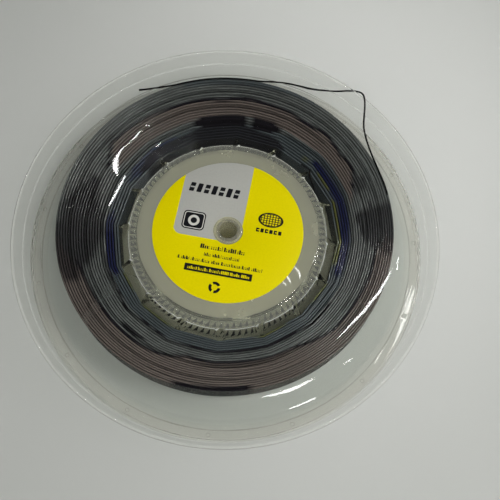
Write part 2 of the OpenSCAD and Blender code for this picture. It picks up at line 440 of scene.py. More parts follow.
# Where each plastic differs from the clear one
plasticKinds = {
    "clear": {},
    # The drum: a slightly milky ring, clear ribs and teeth, a milky white upper outer edge that is a painted
    # highlight, and darker ticks that are painted shade of the gaps between the teeth
    "ring": {"colour": (0.94, 0.94, 0.90), "roughness": 0.02, "ior": 1.0, "passing": 0.92, "coat": 0.0},
    "rib": {"colour": (0.96, 0.96, 0.93), "ior": 1.045, "coat": 0.1},
    "tooth": {"colour": (0.995, 0.995, 0.99), "ior": 1.0, "coat": 0.0, "shadow": (0.995, 0.995, 0.99)},
    "tick": {"colour": (0.72, 0.73, 0.69), "ior": 1.0, "coat": 0.0},
    "ringEdge": {"colour": (0.97, 0.97, 0.95), "ior": 1.12, "passing": 0.40, "roughness": 0.2, "coat": 0.1},
    # The front's rim looks greyer, the back's thicker band a little warm, with a glossy upper face
    "rim": {"colour": (0.90, 0.905, 0.89), "ior": 1.02, "coat": 0.0},
    "band": {"colour": (0.985, 0.965, 0.93), "ior": 1.06, "coat": 0.0, "passing": 0.95, "roughness": 0.01},
    "bandTop": {"colour": (0.985, 0.965, 0.93), "ior": 1.3, "coat": 1.0, "passing": 0.95},
    # The lip's edges are made paler and milky, a painted highlight; steps, the lip's outermost edge
    # and the outlines of the pin marks are darker, painted shade
    "edge": {"colour": (0.96, 0.96, 0.93), "ior": 1.01, "passing": 0.84, "roughness": 0.1, "coat": 0.0},
    "step": {"colour": (0.60, 0.60, 0.56), "ior": 1.05, "coat": 0.0},
    # The hub faces have a fine milky grain, and so has the zone over the teeth, a little less; the hub's warm
    # tint is painted yellow bounce light from the labels
    "hub": {"colour": (0.49, 0.49, 0.385), "shadow": (0.93, 0.93, 0.91), "roughness": 0.24, "ior": 1.12,
            "passing": 0.62, "wave": 0.001, "marks": 0.002},
    "veil": {"colour": (0.75, 0.765, 0.68), "passing": 0.90, "wave": 0.001, "marks": 0.002},
    # Under the hub the plastic is tinted yellow and darker: painted bounce light from the labels and painted
    # shade of the reel's shadow
    "under": {"colour": (0.80, 0.79, 0.63), "passing": 0.97},
    "bush": {"colour": (0.89, 0.87, 0.74), "shadow": (1.0, 0.985, 0.84), "roughness": 0.2,
             "spread": (0.8, 1.3), "ior": 1.45, "passing": 0.85, "coat": 0.0, "wave": 0.08, "marks": 0.5},
}


def passLight(tree, shader, tint):
    # Light on its way to other surfaces goes straight through the plastic, tinted
    path = tree.nodes.new("ShaderNodeLightPath")
    last = Wire(shader.outputs[0])
    for name in ("Is Shadow Ray", "Is Diffuse Ray"):
        passing = addNode(tree, "BsdfTransparent", {"Color": tint})
        last = addNode(tree, "MixShader", {"Fac": Wire(path.outputs[name]), 1: last, 2: passing})
    fillInputs(tree.nodes["Material Output"], {"Surface": last})


def makePlastic(name, look):
    material, tree, shader = newMaterial(name)
    skinInputs = {"Point": objectPoint(tree), "Wave": look["wave"], "Marks": look["marks"]}
    skin = useGroup(tree, mouldedSkin, skinInputs)
    smooth, hazy = (look["roughness"] * share for share in look["spread"])
    fillInputs(shader, {
        "Base Color": look["colour"],
        "IOR": look["ior"],
        "Metallic": 0.0,
        "Transmission Weight": look["passing"],
        "Coat Weight": look["coat"],
        "Coat Roughness": look["coatRoughness"],
        "Roughness": skin["Haze"].ramp(0.0, 1.0, smooth, hazy),
        "Normal": skin["Normal"],
    })
    passLight(tree, shader, look["shadow"])
    return material


plastic = {}
for kind, change in plasticKinds.items():
    plastic[kind] = makePlastic(kind + "Plastic", dict(clearLook, **change))

stringLook = {
    # The wound grey is painted much lighter than the free string's near black: a painted sheen for the light
    # the winding shows under the web
    "grey": (0.112, 0.119, 0.116),
    "warm": (0.156, 0.124, 0.111),
    "dark": (0.006, 0.004, 0.008),
    "olive": (0.110, 0.112, 0.020),
    "slate": (0.076, 0.091, 0.099),
    "navy": (0.006, 0.009, 0.050),
    "free": (0.004, 0.004, 0.005),
    "facetLift": 1.3,
    # flank: the painted shade on the flanks of each string
    "flank": 0.22,
    "roughness": 0.11,
    "pitch": 3.6,
    "ribDepth": 0.00006,
    "woundIor": 1.5,
    "freeIor": 1.3,
}
toneOrder = ("slate", "navy", "warm", "olive", "dark")


def makeStringMaterial(name, plain, ior, tones):
    look = stringLook
    material, tree, shader = newMaterial(name)
    run = addNode(tree, "UVMap", {}, uv_map="run")
    twist = useGroup(tree, twistedRibs, {"Run": run, "Pitch": look["pitch"], "Ribs": 2.0})
    colour = addMix(tree, twist["Facet"].ramp(0.35, 0.65), plain, [c * look["facetLift"] for c in plain])
    # The tones laid over it are painted reflections, and the dark one also painted shadow
    for tone in tones:
        colour = addMix(tree, addAttribute(tree, tone), colour, look[tone])
    # The flanks of each string are painted darker: painted shade where the turns shadow each other
    paintedFlankShade = addMix(tree, 1.0, colour, [look["flank"]] * 3, "MULTIPLY")
    colour = addMix(tree, twist["Crest"].ramp(0.35, 0.92), paintedFlankShade, colour)
    height = twist["Height"]
    fillInputs(shader, {
        "Base Color": colour,
        "IOR": ior,
        "Roughness": height.ramp(0.0, 1.0, look["roughness"] * 1.25, look["roughness"] * 0.7),
        "Normal": addNode(tree, "Bump", {"Distance": look["ribDepth"], "Strength": 1.0, "Height": height}),
    })
    return material


woundString = makeStringMaterial("woundString", stringLook["grey"], stringLook["woundIor"], toneOrder)
freeString = makeStringMaterial("freeString", stringLook["free"], stringLook["freeIor"], ())

# Middles and half sizes on the label. A row of marks is: left, right, height, half height, step, seed.
labelLook = {
    "frontDegrees": -11.5,
    "backDegrees": 8.0,
    "yellow": (0.78, 0.67, 0.0),
    "grey": (0.43, 0.43, 0.395),
    "ink": (0.010, 0.010, 0.012),
    "pale": (0.62, 0.61, 0.56),
    "roughness": 0.42,
    "panel": {"middle": (-12.85, 26.2), "half": (20.95, 33.8), "corner": 4.6},
    "badge": {"middle": (-22.4, 2.8), "half": (7.1, 6.2), "corner": 2.6, "line": (0.75, 1.25), "ring": 3.6},
    "blocks": [
        {"height": 25.4, "from": -27.9, "step": 4.75, "count": 7, "half": (1.55, 3.1), "corner": 0.5,
         "slitAt": 0.3, "slit": (1.6, 0.45), "slant": 0.14},
        {"height": 4.2, "from": 18.0, "step": 2.8, "count": 6, "half": (1.05, 1.35), "corner": 0.4,
         "slitAt": 0.5, "slit": (0.7, 0.3), "slant": 0.0},
    ],
    "net": {"middle": (25.0, 12.0), "half": (8.0, 5.0), "steps": (1.8, 1.5)},
    "rows": [(-15.2, 13.5, -13.0, 1.45, 1.35, 3), (-11.6, 10.4, -18.0, 1.15, 1.0, 20),
             (-27.4, 25.6, -22.4, 1.15, 1.0, 37)],
    "strip": {"middle": (-0.75, -28.0), "half": (21.05, 2.3), "corner": 0.35},
    "stripRow": (-20.2, 18.7, -28.0, 1.0, 1.05, 71),
    "arcs": {"middle": (-1.0, -38.1), "radius": 3.3, "count": 3},
}


def makeLabelPrint(name, turnDegrees, side):
    look = labelLook
    material, tree, shader = newMaterial(name)
    x, y, _ = splitPoint(objectPoint(tree))
    x, y = x * (side / mm), y * (1 / mm)
    cosT, sinT = math.cos(math.radians(turnDegrees)), math.sin(math.radians(turnDegrees))
    u, v = x * cosT + y * sinT, y * cosT - x * sinT
    point = joinPoint(u, v)

    def box(middle, half, corner, slant=0.0):
        inputs = {"Point": point, "Middle": (*middle, 0), "Half Width": half[0], "Half Height": half[1],
                  "Corner": corner, "Slant": slant}
        return useGroup(tree, printBox, inputs)["Mask"]

    def disc(middle, half):
        return lengthOf((u - middle[0]) / half[0], (v - middle[1]) / half[1])

    def anyOf(masks):
        first, *others = masks
        for mask in others:
            first = first.apply("MAXIMUM", mask)
        return first

    def without(a, b):
        return a * (1.0 - b)

    def dashes(seed, step, low, high):
        # Broken bars along u, of uneven lengths
        cell = (u / step).apply("FLOOR")
        chance = addNode(tree, "TexWhiteNoise", {"W": cell + seed}, "Value", noise_dimensions="1D")
        share = u / step - cell
        return (chance.ramp(0.0, 1.0, low, high, "LINEAR") - share).ramp(-0.04, 0.04), chance

    def marksRow(left, right, row, half, step, seed):
        # Small uneven marks in groups, some tall, some with a slit
        strip = box(((left + right) / 2, row), ((right - left) / 2, half), 0.2)
        mark, chance = dashes(seed, step, 0.5, 0.92)
        gap, _ = dashes(seed + 5.0, step * 6.3, 0.84, 0.93)
        rise = (v - row) / half
        top = chance.ramp(0.55, 0.60) * 0.7 + 0.35
        slit = (rise + 0.15).apply("ABSOLUTE").ramp(0.20, 0.12) * chance.ramp(0.42, 0.38)
        return strip * gap * without(mark * (top - rise).ramp(-0.05, 0.05), slit)

    def stripMask():
        # A dark strip with pale marks in it
        strip = look["strip"]
        return without(box(strip["middle"], strip["half"], strip["corner"]), marksRow(*look["stripRow"]))

    def blocksRow(row):
        # Upright blocks, every second one with a slit
        blocks = []
        for k in range(row["count"]):
            at = row["from"] + k * row["step"]
            block = box((at, row["height"]), row["half"], row["corner"], row["slant"])
            slit = box((at + row["slitAt"], row["height"]), row["slit"], 0.1, row["slant"])
            blocks.append(block if k % 2 else without(block, slit))
        return anyOf(blocks)

    def netMask():
        # An oval with strings across it
        net = look["net"]
        oval = disc(net["middle"], net["half"])
        lines = [((axis / step).apply("FRACT") - 0.5).apply("ABSOLUTE").ramp(0.19, 0.14)
                 for axis, step in zip((u, v), net["steps"])]
        outline = oval.ramp(1.02, 0.98) * oval.ramp(0.80, 0.84)
        return anyOf([outline, anyOf(lines) * oval.ramp(0.84, 0.80)])

    def arcsMask():
        # A ring cut into arcs
        arcs = look["arcs"]
        (x, y), radius = arcs["middle"], arcs["radius"]
        ring = disc((x, y), (radius, radius))
        angle = (v - y).apply("ARCTAN2", u - x)
        part = (angle / (fullTurn / arcs["count"]) + 3.0).apply("FRACT")
        return ring.ramp(1.15, 1.08) * ring.ramp(0.55, 0.62) * part.ramp(0.22, 0.26)

    def badgePale():
        # A thin outline and a ring in the badge
        badge = look["badge"]
        wide, tall = badge["half"]
        outline = [box(badge["middle"], (wide - inset, tall - inset), badge["corner"] - inset * 0.8)
                   for inset in badge["line"]]
        ring = disc(badge["middle"], [badge["ring"]] * 2)
        return anyOf([without(*outline), ring.ramp(1.03, 0.97) * ring.ramp(0.52, 0.58)])

    badge = look["badge"]
    blocks = [blocksRow(row) for row in look["blocks"]]
    marks = [marksRow(*row) for row in look["rows"]]
    badgeMask = box(badge["middle"], badge["half"], badge["corner"])
    dark = anyOf([badgeMask, *blocks, netMask(), *marks, stripMask(), arcsMask()])
    panel = look["panel"]
    panelMask = box(panel["middle"], panel["half"], panel["corner"])
    colour = addMix(tree, panelMask, look["yellow"], look["grey"])
    fleck = addNoise(point, 0.9, 4.0).ramp(0.35, 0.75, 0.0, 0.12)
    colour = addMix(tree, fleck, colour, (0.6, 0.6, 0.6), "MULTIPLY")
    colour = addMix(tree, dark, colour, look["ink"])
    fibre = addNoise(point, 3.0, 6.0, 0.6)
    fillInputs(shader, {
        "Base Color": addMix(tree, badgePale(), colour, look["pale"]),
        "Specular IOR Level": 0.02,
        "Normal": addNode(tree, "Bump", {"Distance": 0.00003, "Strength": 0.35, "Height": fibre}),
        "Roughness": fibre.ramp(0.3, 0.7, look["roughness"] * 0.9, look["roughness"] * 1.2),
    })
    return material


paperLook = {"dark": (0.84, 0.79, 0.64), "light": (0.92, 0.87, 0.72), "roughness": 0.75}


def makePaperBack():
    material, tree, shader = newMaterial("paperBack")
    fibre = addNoise(objectPoint(tree), 500.0, 5.0).ramp(0.3, 0.7)
    colour = addMix(tree, fibre, paperLook["dark"], paperLook["light"])
    fillInputs(shader, {"Base Color": colour, "Roughness": paperLook["roughness"]})
    return material


frontPrint = makeLabelPrint("frontPrint", labelLook["frontDegrees"], 1)
backPrint = makeLabelPrint("backPrint", labelLook["backDegrees"], -1)
paperBack = makePaperBack()

say("flanges")
flange = {
    "segments": 256,
    "webT": 1.5,
    "hubRise": 3.4,
    "hubFaceT": 1.6,
    "spigotR": 57.0,
    "spigotT": 1.6,
    "spigotL": 6.0,
    "bossR": 9.3,
    "bossL": 10.0,
    "bushSeatR": 7.55,
    "webR": 119.0,
    "troughR": 127.8,
    "troughDepth": 5.0,
    "rimTop": 31.0,
    "lipT": 1.7,
    "lipEdgeH": 1.2,
    "footT": 1.8,
    "footBead": 0.8,
    "bandStep": 0.7,
    "hole": {"radius": 121.2, "degrees": 40.8, "d": 3.0},
    "marks": {"radius": 122.4, "count": 15, "d": 2.8, "depth": 0.3, "slope": 0.55},
    "warp": {"height": 0.03, "from": 60, "fadeIn": 25, "fadeOut": 12, "wave": 9,
             "frontEnd": 118, "backEnd": 116},
    "webSteps": (61.0, 1.25),
    # Where the plastics change: out from the web's radius, and round the hub
    "rimFrom": -2.2,
    "bandFrom": 0.3,
    "veilR": 61.8,
    "underR": 69.5,
}
rimR = boxOf("front_flange")[1][0]
backR = boxOf("back_flange")[1][0]
rimRise = flange["rimTop"] - heights["frontWeb"] - flange["webT"]


def placesRound(radius, angles):
    return [(radius * math.cos(a), radius * math.sin(a)) for a in angles]


hole = flange["hole"]
holePlaces = placesRound(hole["radius"], [math.radians(hole["degrees"])])
marks = flange["marks"]
markPlaces = placesRound(marks["radius"], [fullTurn * k / marks["count"] for k in range(marks["count"])])


# The points of these profiles: radius, height, corner radius
def hubProfile():
    f = flange
    outer, inner = f["spigotR"], f["spigotR"] - f["spigotT"]
    faceH = f["webT"] + f["hubRise"]
    faceIn = faceH - f["hubFaceT"]
    spigotEnd, bossEnd = -f["spigotL"], faceIn - f["bossL"]
    return [
        [outer, spigotEnd, 0.3],
        [inner, spigotEnd, 0.3],
        [inner, faceIn, 0.8],
        [f["bossR"], faceIn, 0.8],
        [f["bossR"], bossEnd, 0.3],
        [f["bushSeatR"], bossEnd, 0.3],
        [f["bushSeatR"], faceH, 0.15],
        [outer, faceH, 0.8],
        [outer, f["webT"], 0.8],
    ]


def fullProfile(rim):
    # The web has many points along it, so that it can take its slow shape
    first, step = flange["webSteps"]
    radii = np.arange(first, flange["webR"] - 2 * step, step)
    upper = [[r, flange["webT"], 0.0] for r in radii]
    lower = [[r, 0.0, 0.0] for r in radii[::-1]]
    return hubProfile() + upper + rim + lower + [[flange["spigotR"], 0.0, 0.0]]


def frontRim():
    f = flange
    top = f["webT"] + rimRise
    slope = (rimR - f["lipT"] - f["troughR"]) / (rimRise + f["troughDepth"])
    return [
        [f["webR"], f["webT"], 2.0],
        [f["troughR"], f["webT"] - f["troughDepth"], 0.8],
        [rimR - f["lipT"], top, 0.4],
        [rimR, top, 0.5],
        [rimR, top - f["lipEdgeH"], 0.5],
        [f["troughR"] + f["lipT"] - f["webT"] * slope, -f["troughDepth"], 0.7],
        [f["troughR"], -f["troughDepth"], 0.3],
        [f["webR"], 0.0, 2.0],
    ]


def backRim():
    f = flange
    inner = backR - f["footT"]
    foot, band = heights["backWeb"], -f["bandStep"]
    bead = band - f["footBead"]
    return [
        [inner, f["webT"], 0.8],
        [inner, foot, 0.4],
        [backR, foot, 0.4],
        [backR, bead, 0.4],
        [inner, bead, 0.4],
        [inner, band, 0.3],
        [f["webR"] + 0.8, band, 0.0],
        [f["webR"], band, 0.2],
        [f["webR"], 0.0, 0.2],
    ]


def webWarp(seed, end):
    # A slow unevenness of the thin web, nothing at the hub or the rim
    w = flange["warp"]

    def shape(r, a):
        room = np.clip((r - w["from"]) / w["fadeIn"], 0, 1) * np.clip((end - r) / w["fadeOut"], 0, 1)
        waves = np.sin(2 * a + seed) + 0.5 * np.sin(5 * a + 2 * seed) * np.cos(r / w["wave"])
        return w["height"] * room * waves
    return shape


def frontFine(x, y, z, level):
    # 1: the lip's upper edge and the outer corner of the trough, with the painted highlight of the paler edge
    #    plastic,
    # 2: the outermost edge, with the painted shade of the darker step plastic
    f = flange
    r = math.hypot(x, y)
    if z > f["rimTop"] - f["lipEdgeH"] - 0.3 and r > rimR - 0.4:
        return 2
    onLip = z > f["rimTop"] - f["lipEdgeH"] + 0.1 and r > rimR - f["lipT"] - 0.3
    return 1 if onLip or abs(r - f["troughR"]) < 0.35 else 0


def backFine(x, y, z, level):
    # 1: the step at the band's inner edge and the slopes of the pin marks, painted shade in the darker step
    #    plastic,
    # 2: the band's upper face
    r = math.hypot(x, y)
    reach = marks["d"] / 2 + 0.1
    if z > heights["backWeb"] - 0.2 and abs(r - flange["webR"] - 0.4) < 0.42:
        return 1
    if level < 0.9 and any(math.hypot(x - px, y - py) < reach for px, py in markPlaces):
        return 1
    return 2 if z > heights["backWeb"] + 0.5 and level > 0.98 and r > flange["webR"] + 0.8 else 0


def makeFlange(name, node, mesh, cutter, kinds, outerR, innerR, fineOf):
    # kinds: the plastic outside outerR, that inside innerR round the hub, and those of fineOf's places
    obj = addObject(name, mesh)
    cutWith(obj, cutter)
    obj.data.materials.clear()
    for kind in ("clear", "hub", *kinds):
        obj.data.materials.append(plastic[kind])
    hubR = flange["spigotR"] - 0.6
    for face in obj.data.polygons:
        x, y, z = face.center
        r = math.hypot(x, y)
        level = abs(face.normal.z)
        onHub = r < hubR * mm and level > 0.5
        fine = fineOf(x / mm, y / mm, z / mm, level)
        zone = 1 if onHub else 2 if r > outerR * mm else 3 if r < innerR * mm else 0
        face.material_index = 3 + fine if fine else zone
    finishPiece(obj, node)


def makeFlanges():
    f = flange
    front, back = heights["frontWeb"], heights["backWeb"]
    mesh = lathe("frontFlange", fullProfile(frontRim()), f["segments"], front,
                 ripple=webWarp(0.7, f["warp"]["frontEnd"]))
    cutter = makePins("stringHoleCutter", holePlaces, hole["d"] / 2, hole["d"] / 2, front - 7, front + 4)
    makeFlange("frontFlange", "front_flange", mesh, cutter, ("rim", "veil", "edge", "step"),
               f["webR"] + f["rimFrom"], f["veilR"], frontFine)
    mesh = lathe("backFlange", fullProfile(backRim()), f["segments"], back, True,
                 webWarp(2.1, f["warp"]["backEnd"]))
    bandTop = back + f["bandStep"]
    cutter = makePins("pinMarkCutter", markPlaces, marks["d"] / 2 - marks["slope"],
                      marks["d"] / 2 + marks["slope"] / marks["depth"], bandTop - marks["depth"], bandTop + 1)
    makeFlange("backFlange", "back_flange", mesh, cutter, ("band", "under", "step", "bandTop"),
               f["webR"] + f["bandFrom"], f["underR"], backFine)


makeFlanges()

say("hub")
drum = {
    "outerR": 62.5,
    "innerR": 60.9,
    "seamR": 61.9,
    "teeth": 96,
    "toothH": 3.6,
    "toothW": 1.35,
    "ribs": 16,
    "ribDegrees": 17.3,
    "ribH": 6.5,
    "ribRootW": 6.0,
    "ribTipW": 1.2,
    "ribTipRound": [(0.1, 0.38), (0.0, 0.16)],  # how far below the tip, and share of ribTipW
    "flankEnd": (0.5, 0.96),  # how far below the tip, and share of the way in to its width
    "ribEndH": 2.6,
    "ribEndShare": 0.55,
    "edge": 0.15,
    "ringEdge": 0.4,
    "toothEdge": 0.3,
    "seat": 0.04,
}
pocketDegrees = 360 / drum["ribs"]


def drumOutside():
    # Angles and radii once round the outside, the same number of points between two ribs
    d = drum
    rootX = math.sqrt(d["outerR"] ** 2 - (d["ribRootW"] / 2) ** 2)
    tipX = d["outerR"] + d["ribH"]
    below, inward = d["flankEnd"]
    step = np.array([[tipX - below - rootX, (d["ribRootW"] - d["ribTipW"]) / 2 * inward]])
    flank = np.linspace(0, 1, 8)[:, None] * step + [[rootX, -d["ribRootW"] / 2]]
    tip = [[tipX - below, -d["ribTipW"] * share] for below, share in d["ribTipRound"]]
    half = np.concatenate([flank, tip])
    rib = np.concatenate([half, half[::-1] * [1, -1]])
    ribA = np.degrees(np.arctan2(rib[:, 1], rib[:, 0]))
    arcA = np.linspace(ribA[-1], pocketDegrees + ribA[0], 42)[1:-1]
    a = np.concatenate([ribA, arcA])
    r = np.concatenate([np.linalg.norm(rib, axis=1), np.full(len(arcA), d["outerR"])])
    starts = d["ribDegrees"] + np.arange(d["ribs"]) * pocketDegrees
    return (starts[:, None] + a[None, :]).ravel(), np.tile(r, d["ribs"])


def drumInside():
    # The same for the inside with its teeth, and which way each tooth's point goes to get narrower
    d = drum
    tipR = d["innerR"] - d["toothH"]
    root, tip = (math.degrees(math.asin(d["toothW"] / 2 / r)) for r in (d["innerR"], tipR))
    pitch = 360 / d["teeth"]
    gap = np.linspace(root, pitch - root, 6)[1:-1]
    a = np.concatenate([[-root, -tip, -tip / 3, tip / 3, tip, root], gap])
    r = np.array([d["innerR"]] + [tipR] * 4 + [d["innerR"]] * 5)
    inward = -np.sign(a) * (np.abs(a) <= root + 1e-9) * (np.abs(a) > tip / 2)
    first = d["ribDegrees"] + 180 / d["ribs"] + pitch / 2
    starts = first + (np.arange(d["teeth"]) - d["teeth"] // (2 * d["ribs"])) * pitch
    return (starts[:, None] + a[None, :]).ravel(), np.tile(r, d["teeth"]), np.tile(inward, d["teeth"])


def drumRing(degrees, r, z):
    a = np.radians(degrees)
    return np.stack([r * np.cos(a), r * np.sin(a), np.full(len(r), z)], -1)


def makeDrum():
    d = drum
    low, high = drumLow[2] + d["seat"], drumHigh[2] - d["seat"]
    outA, outR = drumOutside()
    inA, inR, inward = drumInside()
    topA = inA + inward * np.degrees(d["toothEdge"] / inR)
    seamA = (outA + inA) / 2
    seamR = np.full(len(outA), d["seamR"])
    endR = d["outerR"] + (outR - d["outerR"]) * d["ribEndShare"]
    # Once across the ring, from the inside under it and up the outside to the inner upper edge
    columns = [
        (inA, inR, low), (seamA, seamR, low), (outA, endR, low), (outA, outR, low + d["ribEndH"]),
        (outA, outR, high - d["ribEndH"]), (outA, endR, high - d["edge"]), (outA, endR - d["ringEdge"], high),
        (seamA, seamR - d["ringEdge"], high), (topA, inR + d["toothEdge"], high),
        (inA, inR, high - d["toothEdge"]),
    ]
    mesh, _ = gridMesh("hubDrum", np.stack([drumRing(*column) for column in columns], 1), True, True)
    faceOutwards(mesh)
    mesh.set_sharp_from_angle(angle=math.radians(35))
    for kind in ("ring", "rib", "tooth", "ringEdge", "tick"):
        mesh.materials.append(plastic[kind])
    perTooth = len(inA) // d["teeth"]
    for face in mesh.polygons:
        around, across = divmod(face.index, len(columns))
        r = math.hypot(face.center.x, face.center.y) / mm
        z = face.center.z / mm
        onTop = z > high - 0.05
        face.material_index = 1 if r > d["outerR"] + 0.15 else 2 if r < d["innerR"] + 0.2 else 0
        # The ring's upper outer edge takes the painted highlight, and the teeth's chamfers and the middle
        # third of their tops the ticks' painted shade
        if z > high - d["toothEdge"] and d["outerR"] - d["ringEdge"] < r < d["outerR"] + 0.1:
            face.material_index = 3
        elif high - d["toothEdge"] < z < high - 0.05 and r < d["innerR"]:
            face.material_index = 4
        elif onTop and across == 7 and around % perTooth == 2:  # the middle third of a tooth's top
            face.material_index = 4
    finishPiece(addObject("hubDrum", mesh), "hub_drum")


makeDrum()

bush = {"boreR": 5.7, "wall": 1.7, "collarW": 1.35, "edge": 0.35, "segments": 96}


def makeBush():
    inner, outer = bush["boreR"], bush["boreR"] + bush["wall"]
    collarR = outer + bush["collarW"]
    points = [
        [inner, heights["backFace"], 0.2],
        [inner, heights["collarTop"], bush["edge"]],
        [collarR, heights["collarTop"], bush["edge"]],
        [collarR, heights["frontFace"], 0.1],
        [outer, heights["frontFace"], 0.0],
        [outer, heights["backFace"], 0.25],
    ]
    mesh = lathe("axleBush", points, bush["segments"])
    mesh.materials.append(plastic["bush"])
    obj = addObject("axleBush", mesh)
    weightNormals(obj)
    finishPiece(obj, "axle_bush")


makeBush()

labels = {"outerR": labelHigh[0], "holeR": 9.25, "edge": 0.08, "segments": 180}


def makeLabel(name, node, side, printMaterial):
    # side is 1 for print on the upper face, -1 for print on the lower one
    low, high = (corner[2] for corner in boxOf(node))
    holeR, outerR, e = labels["holeR"], labels["outerR"], labels["edge"]
    points = [[holeR, low, e], [holeR, high, e], [outerR, high, e], [outerR, low, e]]
    mesh = lathe(name, points, labels["segments"], steps=2)
    mesh.materials.append(printMaterial)
    mesh.materials.append(paperBack)
    for face in mesh.polygons:
        face.material_index = 1 if face.normal.z * side < -0.3 else 0
    finishPiece(addObject(name, mesh), node)


makeLabel("frontLabel", "front_label", 1, frontPrint)
makeLabel("backLabel", "back_label", -1, backPrint)

say("string")
string = {
    "d": 1.25,
    "sides": 8,
    "stepsPerTurn": 128,
    "layers": 24,
    "turns": 15,
    "layerPitch": 1.6,
    "firstR": 69.725,
    "slack": (-1.0, 8.0),
    "waveFade": 8.0,
    "webGap": 0.95,  # from a web to the middle of the nearest turn
    "crossDegrees": 55.0,
    "endDegrees": 10.0,
    "startDegrees": 39.8,
    "drift": [(70, 0.11, 0), (30, 0.37, 1)],  # degrees, rate and phase over the turns
    "driftFade": 25,
    "wander": 0.03,
    "wanderFade": 60,
    "seed": 7,
    "pieces": 4,
    "twistRepeat": 10400,
}
stringLow = heights["backWeb"] + string["webGap"]
stringHigh = heights["frontWeb"] - string["webGap"]

# Painted reflections on the wound string, where it looks warmer, darker, navy, olive or slate: soft edge in
# layers, share, and the zone's outline as (degrees, lowest layer, highest layer)
paintedReflectionZones = {
    "warm": [
        (0.5, 1.0, [(150, 8.5, 9), (142, 8, 16.2), (130, 7.8, 15.4), (108, 7.9, 14.8), (100, 8, 15),
                    (92, 8, 14.2), (80, 8.3, 15.2), (72, 8, 14.6), (61, 7.5, 14.4), (54, 7.3, 13.6),
                    (45, 7.3, 15), (35, 8.1, 13.1), (27, 7.8, 14.1), (20, 7.8, 10.8), (12, 8, 8)]),
        (0.5, 0.9, [(-5, 20, 20), (-11, 16.2, 27), (-47, 15, 27), (-54, 13.3, 27), (-64, 10.7, 27),
                    (-100, 10.7, 27), (-106, 9.6, 27), (-112, 11.8, 27), (-119, 13.6, 27),
                    (-135, 14.2, 27), (-162, 14.9, 27), (-170, 20, 27), (-176, 23, 23)]),
    ],
    "dark": [
        (0.35, 1.0, [(105, 6, 7), (102, 4.6, 8.8), (82, 4.4, 8.8), (80, 6, 7)]),
        (0.35, 1.0, [(79, 6, 7), (77, 4.4, 9), (67, 4.4, 9), (64, 6, 7)]),
        (0.6, 0.85, [(142, 1, 2), (136, -1, 3.2), (110, -1, 3.6), (102, -1, 4.8), (80, -1, 4.6),
                     (66, -1, 3.4), (58, 0, 1)]),
        (3.0, 0.8, [(180, 5, 22), (172, 6, 22), (165, 9, 19), (157, 12, 15)]),
        (2.5, 0.8, [(-158, 18, 22), (-168, 9, 25), (-180, 5, 25)]),
        (0.3, 1.0, [(-82, 23, 23), (-84, 21.6, 26), (-106, 21.6, 26), (-108, 23, 23)]),
        (0.3, 0.9, [(-78, 10, 10), (-81, 9.4, 10.5), (-96, 9.4, 10.5), (-99, 10, 10)]),
        (0.3, 0.9, [(-125, 11, 11), (-128, 10.2, 12.4), (-134, 10.2, 12.6), (-137, 12, 12)]),
        (0.5, 0.75, [(9, 15, 15), (7, 8, 26), (-4, 10, 26), (-9, 14, 26), (-12, 22, 22)]),
        (0.5, 0.6, [(24, 13, 13), (21, 10, 17), (17, 10, 16), (14, 12, 12)]),
        (0.4, 0.7, [(97, 20.5, 20.5), (92, 20.1, 21), (66, 20.1, 21), (61, 20.5, 20.5)]),
    ],
    "navy": [
        (0.5, 1.0, [(42, 3.4, 3.4), (38, 2, 5), (2, 1.8, 5.2), (-2, 1.2, 5), (-20, 1, 4.8), (-26, 2.6, 2.6)]),
        (0.5, 0.8, [(180, 1.2, 4.8), (173, 1.4, 4.6), (168, 3, 3)]),
        (0.5, 1.0, [(-156, 2.6, 2.6), (-162, 1.2, 4.6), (-180, 1.2, 4.8)]),
        (0.6, 0.7, [(152, 2, 2), (144, 0.5, 4.6), (120, 0.5, 4.8), (112, 3, 3)]),
    ],
    "olive": [
        (0.5, 0.8, [(49, 2.5, 2.5), (46, 1.8, 3.2), (43, 2.5, 2.5)]),
        (0.5, 0.8, [(37, 2, 2), (34, 1.2, 2.6), (26, 1.2, 2.6), (23, 2, 2)]),
        (0.5, 0.9, [(19, 1, 1), (15, 0.4, 1.9), (-16, -0.2, 1.4), (-21, 0.4, 0.4)]),
        (0.5, 0.8, [(-29, 0, 0), (-32, -0.5, 0.6), (-40, -0.5, 0.6), (-42, 0, 0)]),
        (0.5, 0.8, [(-60, 0, 0), (-64, -0.5, 0.5), (-73, -0.5, 0.5), (-76, 0, 0)]),
        (0.5, 0.7, [(-120, 0, 0), (-124, -0.5, 0.6), (-136, -0.5, 0.6), (-139, 0, 0)]),
        (0.5, 0.7, [(-148, 0, 0), (-151, -0.5, 0.6), (-157, -0.5, 0.6), (-160, 0, 0)]),
    ],
    "slate": [
        (0.4, 1.0, [(180, -1, 4.8), (0, -1, 5.4), (-180, -1, 4.8)]),
        (0.4, 1.0, [(62, 5, 5), (58, 4, 6.6), (40, 4, 7.6), (20, 4, 7.2), (8, 4, 6)]),
        (0.6, 0.9, [(105, 21, 24), (80, 20.6, 26), (55, 22, 26), (46, 24, 26)]),
    ],
}
# Painted shadow: dark lines in the gaps between two heaps of turns, as half width in layers and (degrees,
# layer)
paintedShadowSeams = [
    (0.7, [(150, 12), (142, 16.5), (130, 15.6), (120, 15.6), (108, 15), (100, 15.3), (92, 14.4), (80, 15.5),
           (72, 14.8), (61, 14.7), (54, 13.8), (45, 15.2), (35, 13.3), (27, 14.4), (20, 11)]),
    (0.45, [(-38, 5.8), (-47, 6.2), (-60, 5.2), (-72, 4.9), (-85, 4.8), (-100, 4.7), (-108, 5.3),
            (-118, 5.6), (-126, 4.5), (-134, 5.5), (-143, 5.9), (-152, 4.5), (-160, 5.3), (-170, 5.5)]),
    (0.7, [(-8, 17), (-11, 16), (-47, 14.8), (-54, 13.1), (-64, 10.5), (-100, 10.4), (-106, 9.4),
           (-112, 11.6), (-119, 13.4), (-135, 14), (-162, 14.7), (-172, 19)]),
]


